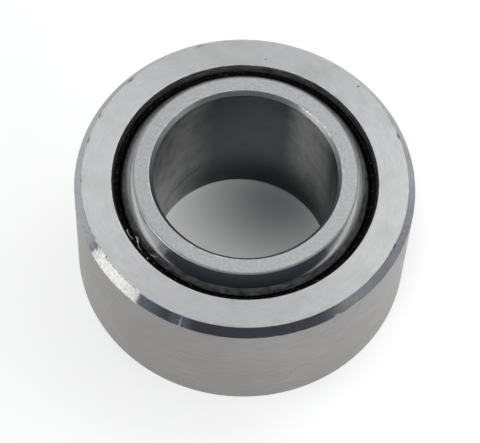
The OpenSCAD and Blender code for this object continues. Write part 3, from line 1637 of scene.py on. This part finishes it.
    def tangle(self) -> bpy.types.Object:
        """Makes the brown tangle where the cut edge is frayed.

        Returns:
            The tangle, as one object.
        """
        fray = self.fray
        dice = np.random.default_rng(fray.seed)
        yarn = Yarn("liner_tangle", self.strand_sides)
        steps = np.linspace(0, 1, fray.joints)
        for _ in range(fray.count):
            start = dice.uniform(*fray.stretch_deg)
            angle = start + steps * dice.uniform(*fray.long_deg) * dice.choice((-1, 1))
            bow = dice.normal(0, fray.bow_share) * np.sin(math.pi * steps)
            share = dice.uniform(*fray.start_share) + steps * dice.normal(0, fray.lean_share) + bow
            height = self.edge_z + dice.uniform(*fray.rise_mm) + steps * dice.normal(0, fray.lean_mm)
            height = np.clip(height, self.edge_z, self.race_z - fray.below_mm)
            yarn.strand(self.in_gap(angle, np.clip(share, 0.0, 1.0), height), dice.uniform(*fray.radius_mm))
        return yarn.build(FRAYED_YARN)

    def threads(self) -> bpy.types.Object:
        """Makes the pale threads that have come loose there.

        Returns:
            The threads, as one object.
        """
        yarn = Yarn("liner_threads", self.thread_sides)
        steps = np.linspace(0, 1, self.thread_joints)
        for thread in self.loose:
            angle, share, height = (
                np.interp(steps, (0, 1), ends)
                for ends in (thread.ends_deg, thread.ends_share, thread.ends_z_mm)
            )
            bowed = share + thread.bow * np.sin(math.pi * steps)
            yarn.strand(self.in_gap(angle, bowed, height), thread.radius_mm)
        return yarn.build(LOOSE_YARN)

    def build(self) -> list[bpy.types.Object]:
        """Turns the liner, adds its loose yarn and dresses all of it.

        Returns:
            The cloth and its yarn.
        """
        turned = TurnedPiece("liner_cloth", self.runs(), (LINER_CLOTH,), self.segments)
        cloth = turned.build(self.ragged)
        pieces = [cloth, self.stubs(), self.tangle(), self.threads()]
        self.dress(cloth, pieces)
        return pieces

    def dress(self, cloth: bpy.types.Object, pieces: list[bpy.types.Object]) -> None:
        """Hides the liner's node, and hangs the cloth and its yarn on the race's body.

        Args:
            cloth: the turned liner; not used.
            pieces: the cloth and its yarn.
        """
        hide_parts(Piece.LINER.value)
        for piece in pieces:
            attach(piece, Body.RACE.value)


@dataclass
class BearingBall:
    """The inner ring: a polished sphere with lapped end faces, a honed bore and broken edges.

    Attributes:
        ball_r: radius of the sphere.
        face_z: height of the upper face.
        bore_r: radius of the bore.
        bore_z: height where the straight bore ends.
        chamfer_radial: radial leg of the chamfers at the bore's mouths.
        edge_mm: radius of a broken edge.
        rim_mm: radius of the broken edge between a face and the sphere.
        face_step_mm: longest step across the faces and chamfers.
        sphere_step_mm: longest step along the sphere.
        bore_step_mm: longest step along the bore.
        segments: steps round the axis.
        wear: small nicks along each edge of the faces.
        seed: start of the chance that strews them.
        nicks: the nicks that show.
    """

    ball_r: float = field(default_factory=lambda: node_reach(Piece.BALL)[0])
    face_z: float = field(default_factory=lambda: node_reach(Piece.BALL)[1])
    bore_r: float = field(default_factory=lambda: mount_size("bore")[0])
    bore_z: float = field(default_factory=lambda: mount_size("bore")[1] / 2)
    chamfer_radial: float = 0.5
    edge_mm: float = 0.06
    rim_mm: float = 0.18
    face_step_mm: float = 0.2
    sphere_step_mm: float = 0.45
    bore_step_mm: float = 0.8
    segments: int = 600
    wear: EdgeWear = EdgeWear(24, 0.25)
    seed: int = 16
    nicks: tuple[Nick, ...] = (
        Nick(43.2, 11.62, 11.1, 0.2, 0.12, 0.04),
        Nick(53.2, 11.62, 11.1, 0.2, 0.12, 0.04),
        Nick(30.8, 11.62, 11.1, 0.25, 0.12, 0.04),
        Nick(350.8, 13.4, 11.08, 0.2, 0.14, 0.05),
        Nick(355.5, 13.42, 11.05, 0.16, 0.12, 0.04),
        Nick(206.0, 13.4, 11.08, 0.2, 0.12, 0.04),
        Nick(238.5, 13.4, 11.08, 0.25, 0.12, 0.04),
    )

    def edges(self) -> tuple[float, float]:
        """Gives the radius of a face's inner edge and of its outer edge."""
        return self.bore_r + self.chamfer_radial, math.sqrt(self.ball_r**2 - self.face_z**2)

    def runs(self) -> list[Run]:
        """Lists the section's runs, from the upper bore edge outwards and round.

        Returns:
            The runs.
        """
        chamfer_r, rim_r = self.edges()
        upper = [(self.bore_r, self.bore_z), (chamfer_r, self.face_z), (rim_r, self.face_z)]
        lower = [(radius, -height) for radius, height in reversed(upper)]
        step, edge, rim = self.face_step_mm, self.edge_mm, self.rim_mm
        sphere = round_run(self.ball_r, self.face_z, -self.face_z, self.sphere_step_mm)
        return [
            Run(straight(upper[0], upper[1], step), TURNED_LEAD_IN, edge),
            Run(straight(upper[1], upper[2], step), LAPPED_FACE, rim),
            Run(sphere, POLISHED_SPHERE, rim),
            Run(straight(lower[0], lower[1], step), LAPPED_FACE, edge),
            Run(straight(lower[1], lower[2], step), TURNED_LEAD_IN, edge),
            Run(straight(lower[2], upper[0], self.bore_step_mm), HONED_INSIDE, edge),
        ]

    def damage(self) -> tuple[Nick, ...]:
        """Lists the nicks that show and small ones along the edges of both faces.

        Returns:
            The nicks.
        """
        dice = np.random.default_rng(self.seed)
        nicks = self.nicks
        for end in (1, -1):
            for radius in self.edges():
                nicks += self.wear.strew(dice, radius, end * self.face_z)
        return nicks

    def build(self) -> list[bpy.types.Object]:
        """Turns the ball and dresses it.

        Returns:
            The ball, as the one piece of its list.
        """
        damage = self.damage()
        finishes = (POLISHED_SPHERE, LAPPED_FACE, HONED_INSIDE, TURNED_LEAD_IN)
        turned = TurnedPiece("ball_ring", self.runs(), finishes, self.segments)
        piece = turned.build(lambda points: dent(points, damage))
        self.dress(piece)
        return [piece]

    def dress(self, piece: bpy.types.Object) -> None:
        """Hangs the ball on its body and hides the node that it replaces.

        Args:
            piece: the turned ball.
        """
        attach(piece, Body.BALL.value)
        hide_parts(Piece.BALL.value)


@dataclass(frozen=True)
class SoftBox:
    """A soft studio lamp, placed by the direction it shines from.

    Attributes:
        name: the lamp's name.
        azimuth_deg: direction round the object.
        elevation_deg: direction above the floor.
        distance_mm: distance from the object.
        width_mm: width across.
        height_mm: height.
        radiance: brightness that a mirror shows, where one is white.
    """

    name: str
    azimuth_deg: float
    elevation_deg: float
    distance_mm: float
    width_mm: float
    height_mm: float
    radiance: float

    def hang(self) -> None:
        """Makes the lamp and points it at the object."""
        lamp = bpy.data.lights.new(self.name, "AREA")
        lamp.shape = "RECTANGLE"
        lamp.size = self.width_mm * MM
        lamp.size_y = self.height_mm * MM
        lamp.energy = self.radiance * math.pi * lamp.size * lamp.size_y
        azimuth, elevation = math.radians(self.azimuth_deg), math.radians(self.elevation_deg)
        heading = Vector((
            math.cos(azimuth) * math.cos(elevation),
            math.sin(azimuth) * math.cos(elevation),
            math.sin(elevation),
        ))
        box = bpy.data.objects.new(self.name, lamp)
        box.location = heading * self.distance_mm * MM
        box.rotation_mode = "QUATERNION"
        box.rotation_quaternion = (-heading).to_track_quat("-Z", "Y")
        bpy.context.scene.collection.objects.link(box)


@dataclass
class Studio:
    """The pale floor, the lamps and the dim room round them.

    Attributes:
        floor_z: height of the floor.
        floor_mm: length of the floor's sides.
        paper: colour of the floor.
        skirting: colour of the room at the floor.
        walls: colour of the room's walls.
        ceiling: colour of the room's ceiling.
        wall_deg: elevation where the skirting ends and where the wall is whole.
        ceiling_deg: elevation where the wall ends and where the ceiling is whole.
        ceiling_lean_deg: how far the room leans towards its rear.
        shade_centre_mm: middle of the painted shadow under the part.
        shade_mm: distance from there where the painted shadow is deepest and where it ends.
        glow: glow of the floor in the painted shadow and outside it.
        tilt_mm: how far to the left and to the right the glow keeps changing.
        tilt: how many times brighter the glow is there, as painted light that grows towards the right.
        lamps: the lamps.
    """

    floor_z: float = field(default_factory=lambda: CAD_BOX[0][2] / MM)
    floor_mm: float = 2400.0
    paper: str = "#f2f2f1"
    skirting: str = "#25272b"
    walls: str = "#54565a"
    ceiling: str = "#b0b2b4"
    wall_deg: tuple[float, float] = (-13.0, 4.0)
    ceiling_deg: tuple[float, float] = (8.0, 38.0)
    ceiling_lean_deg: float = 12.0
    shade_centre_mm: tuple[float, float] = (4.0, 8.0)
    shade_mm: tuple[float, float] = (0.0, 26.0)
    glow: tuple[float, float] = (0.0, 0.58)
    tilt_mm: tuple[float, float] = (-30.0, 30.0)
    tilt: tuple[float, float] = (0.85, 1.3)
    lamps: tuple[SoftBox, ...] = (
        SoftBox("top_box", 88.0, 62.0, 520.0, 900.0, 320.0, 0.54),
        SoftBox("right_top_box", 50.0, 58.0, 520.0, 300.0, 260.0, 0.42),
        SoftBox("window_box", 201.0, 30.0, 420.0, 205.0, 165.0, 2.4),
        SoftBox("low_window", 198.0, 4.0, 420.0, 125.0, 60.0, 0.42),
        SoftBox("right_window", 344.0, 27.0, 300.0, 180.0, 74.0, 0.7),
        SoftBox("left_card", 172.0, 7.4, 130.0, 234.0, 56.0, 0.3),
        SoftBox("right_card", 6.0, 11.0, 110.0, 126.0, 64.0, 0.18),
        SoftBox("rear_card", 90.0, 14.0, 700.0, 800.0, 260.0, 0.2),
    )

    def paper_material(self) -> bpy.types.Material:
        """Builds the floor's material, which glows only where it is seen, also in metal, with a painted
        shadow round the part.

        Returns:
            The material.
        """
        material = new_material("white_paper")
        tree = material.node_tree
        lit = add(tree, "BsdfDiffuse", {"Color": linear(self.paper)})
        path = add(tree, "LightPath").outputs
        mirrored = add(
            tree, "Math", {0: path["Is Glossy Ray"], 1: path["Is Transmission Ray"]}, operation="ADD",
        )
        seen = add(tree, "Math", {0: path["Is Camera Ray"], 1: mirrored}, operation="ADD")
        centre = (self.shade_centre_mm[0] * MM, self.shade_centre_mm[1] * MM, self.floor_z * MM)
        place = add(tree, "TexCoord").outputs["Object"]
        reach = add(tree, "VectorMath", {0: place, 1: centre}, operation="DISTANCE")
        aside = add(tree, "SeparateXYZ", {0: place}).outputs["X"]
        # Painted shadow: the glow fades under and round the part
        open_floor = add(
            tree, "MapRange",
            {"Value": reach, "From Min": self.shade_mm[0] * MM, "From Max": self.shade_mm[1] * MM,
             "To Min": self.glow[0], "To Max": self.glow[1]},
            interpolation_type="SMOOTHSTEP",
        )
        # Painted light: the glow grows brighter towards the right
        tilt = add(
            tree, "MapRange",
            {"Value": aside, "From Min": self.tilt_mm[0] * MM, "From Max": self.tilt_mm[1] * MM,
             "To Min": self.tilt[0], "To Max": self.tilt[1]},
        )
        tilted = add(tree, "Math", {0: open_floor, 1: tilt}, operation="MULTIPLY")
        strength = add(tree, "Math", {0: tilted, 1: seen}, operation="MULTIPLY")
        glow = add(tree, "Emission", {"Color": linear(self.paper), "Strength": strength})
        add(tree, "OutputMaterial", {"Surface": add(tree, "AddShader", {0: lit, 1: glow})})
        return material

    def floor(self) -> None:
        """Lays the paper that the bearing stands on."""
        half, height = self.floor_mm / 2 * MM, self.floor_z * MM
        corners = [(-half, -half, height), (half, -half, height), (half, half, height), (-half, half, height)]
        floor = new_object("floor_paper", corners, [(0, 1, 2, 3)], [self.paper_material()])

    def light(self) -> None:
        """Hangs the lamps and dims the room."""
        for lamp in self.lamps:
            lamp.hang()
        world = bpy.data.worlds.new("room")
        world.use_nodes = True
        tree = world.node_tree
        tree.nodes.clear()
        lean = math.radians(self.ceiling_lean_deg)
        way = add(tree, "TexCoord").outputs["Generated"]
        upward = (0.0, math.sin(lean), math.cos(lean))
        height = add(tree, "VectorMath", {0: way, 1: upward}, operation="DOT_PRODUCT")
        layers = []
        for reach, above in ((self.wall_deg, self.walls), (self.ceiling_deg, self.ceiling)):
            low, high = (math.sin(math.radians(angle)) for angle in reach)
            share = add(
                tree, "MapRange", {"Value": height, "From Min": low, "From Max": high},
                interpolation_type="SMOOTHSTEP",
            )
            layers.append((share, above))
        shade = add(tree, "Background", {"Color": painted(tree, self.skirting, layers), "Strength": 1.0})
        add(tree, "OutputWorld", {"Surface": shade})
        bpy.context.scene.world = world


@dataclass
class PhotoCamera:
    """The camera at the photograph's viewing angle, from a fit to the round edges in the photograph.

    Attributes:
        elevation_deg: its height above the floor, seen from the part.
        distance_mm: its distance from the part.
        focal_px: its focal length, in pixels of the photograph.
        roll_deg: how far it is turned about its own axis.
        aim_right_mm: how far to the right of the part's middle it aims.
        aim_up_mm: how far above the part's middle it aims.
        sensor_mm: width of its sensor.
        clip_share: nearest distance that it sees, as a share of its own.
    """

    elevation_deg: float = 61.94
    distance_mm: float = 288.9
    focal_px: float = 2327.0
    roll_deg: float = 3.48
    aim_right_mm: float = -0.375
    aim_up_mm: float = -0.599
    sensor_mm: float = 36.0
    clip_share: float = 0.1

    def place(self) -> None:
        """Makes the camera and makes it the scene's own."""
        data = bpy.data.cameras.new("photo_camera")
        data.sensor_width = self.sensor_mm
        data.lens = self.focal_px / PHOTO_WIDTH_PX * self.sensor_mm
        data.clip_start = self.distance_mm * self.clip_share * MM
        elevation, roll = math.radians(self.elevation_deg), math.radians(self.roll_deg)
        back = Vector((0.0, -math.cos(elevation), math.sin(elevation)))
        level_right = Vector((1.0, 0.0, 0.0))
        level_up = back.cross(level_right)
        right = level_right * math.cos(roll) + level_up * math.sin(roll)
        up = level_up * math.cos(roll) - level_right * math.sin(roll)
        aim = (right * self.aim_right_mm + up * self.aim_up_mm) * MM
        place = back * self.distance_mm * MM
        back = (place - aim).normalized()
        right = up.cross(back).normalized()
        up = back.cross(right)
        turn = Matrix((right, up, back)).transposed()
        camera = bpy.data.objects.new("photo_camera", data)
        camera.matrix_world = Matrix.Translation(place) @ turn.to_4x4()
        bpy.context.scene.collection.objects.link(camera)
        bpy.context.scene.camera = camera


def main() -> None:
    """Builds the pieces in order, then the studio and the camera."""
    logging.basicConfig(level=logging.INFO)
    bpy.context.scene.view_settings.view_transform = "Standard"
    for assembly in (OuterRace(), Liner(), BearingBall()):
        for piece in assembly.build():
            log.info("%s: %d faces", piece.name, len(piece.data.polygons))
    studio = Studio()
    studio.floor()
    studio.light()
    PhotoCamera().place()


if __name__ == "__main__":
    main()
